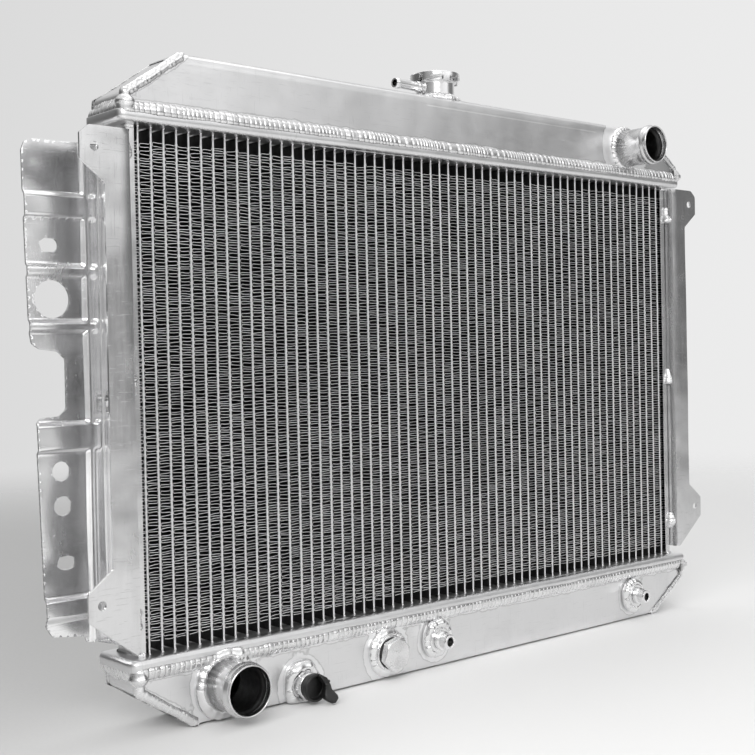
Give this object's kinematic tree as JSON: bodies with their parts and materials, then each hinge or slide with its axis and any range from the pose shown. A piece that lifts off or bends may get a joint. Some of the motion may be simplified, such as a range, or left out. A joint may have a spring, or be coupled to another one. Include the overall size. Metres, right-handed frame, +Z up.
{
  "type": "car radiator",
  "caption": "Welded aluminium down-flow car radiator with finned flat-tube core, end tanks, hose and filler necks, cooler fittings, side brackets and a screw-out drain.",
  "frame": {"origin": "middle of the flat underside of the bottom tank, on the core's mid-plane", "axes": "+X along the width to the right as seen from the hose side, -Y out of the hose side, +Z up"},
  "size_m": [0.7922, 0.094, 0.551],
  "materials": {
    "tank_sheet": "satin mill finish with light scuffs",
    "header_sheet": "satin",
    "tube": "brazed satin",
    "fin": "brazed dull",
    "side_sheet": "satin",
    "machined": "bright turned",
    "black_plastic": "moulded",
    "seal_rubber": "moulded"
  },
  "bodies": {
    "radiator": {"tube_bank": "tube", "fin_pack": "fin", "top_header": "header_sheet", "bottom_header": "header_sheet", "top_tank_shell": "tank_sheet", "top_tank_left_end": "tank_sheet", "top_tank_right_end": "tank_sheet", "bottom_tank_shell": "tank_sheet", "bottom_tank_left_end": "tank_sheet", "bottom_tank_right_end": "tank_sheet", "left_side_channel": "side_sheet", "right_side_channel": "side_sheet", "left_front_bracket": "side_sheet", "right_front_bracket": "side_sheet", "left_rear_bracket": "side_sheet", "upper_hose_neck": "machined", "lower_hose_neck": "machined", "filler_neck": "machined", "overflow_nipple": "machined", "drain_bung": "machined", "plug_bung": "machined", "plug_gasket": "seal_rubber", "hex_plug": "machined", "oil_cooler": "machined", "cooler_bung_left": "machined", "cooler_bung_right": "machined", "cooler_fitting_left": "machined", "cooler_fitting_right": "machined"},
    "seal": {"drain_seal": "seal_rubber"},
    "drain": {"drain_screw": "black_plastic"}
  },
  "joints": [
    {"name": "drain_seal_slide", "type": "slide", "parent": "radiator", "child": "seal", "axis": [0, -1, 0], "range_m": [0, 0.0031]},
    {"name": "drain_screw_turn", "type": "hinge", "parent": "seal", "child": "drain", "pos_m": [-0.1912, -0.045, 0.014], "axis": [0, -1, 0], "range_deg": [0, 720]}
  ],
  "couplings": [
    {"joint": "drain_seal_slide", "follows": "drain_screw_turn", "m_per_rad": 0.00023873}
  ]
}
